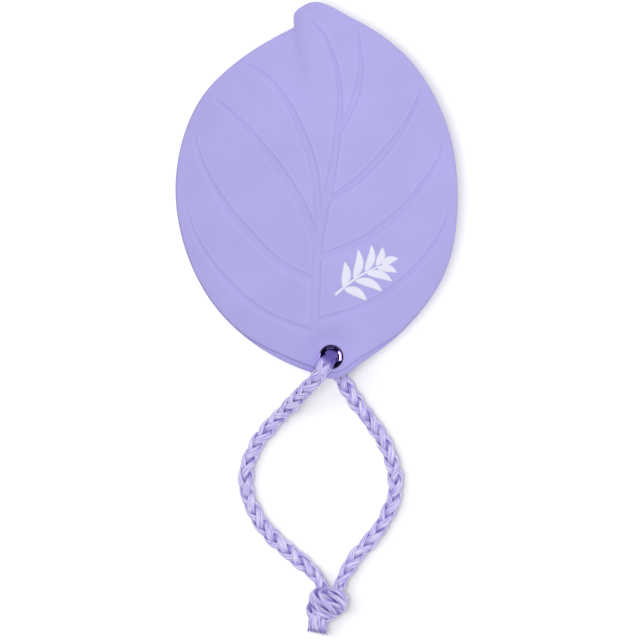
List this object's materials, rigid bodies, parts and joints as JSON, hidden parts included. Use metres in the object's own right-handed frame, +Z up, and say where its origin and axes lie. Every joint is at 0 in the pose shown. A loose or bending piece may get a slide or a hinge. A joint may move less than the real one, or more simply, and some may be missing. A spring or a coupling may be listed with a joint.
{
  "type": "curry comb",
  "caption": "Palm-sized leaf-shaped rubber curry comb: domed grip over a toothed pad, with a dark metal eyelet and a knotted braided hanging loop.",
  "frame": {"origin": "middle of the comb's footprint without its cord, level with the tips of the teeth it stands on", "axes": "+Z up through the domed grip, +Y towards the leaf's tip, +X to the right seen from above; the cord loop lies towards -Y"},
  "size_m": [0.0901, 0.2027, 0.0211],
  "materials": {
    "grip_rubber": "matte soft-touch lilac",
    "tooth_rubber": "matte lilac",
    "dark_metal": "polished, almost black",
    "braid": "glossy filament braid"
  },
  "bodies": {
    "comb": {"leaf_cover": "grip_rubber", "tooth_pad": "tooth_rubber", "eyelet": "dark_metal", "eyelet_washer": "dark_metal"},
    "cord_loop": {"cord_top_strand": "braid", "cord_under_strand": "braid", "cord_knot": "braid", "cord_tail_upper": "braid", "cord_tail_lower": "braid"}
  },
  "joints": [
    {"name": "loop_swing", "type": "hinge", "parent": "comb", "child": "cord_loop", "pos_m": [0.0045, -0.053, 0.012], "axis": [0, 0, 1], "range_deg": [-20, 25]}
  ]
}
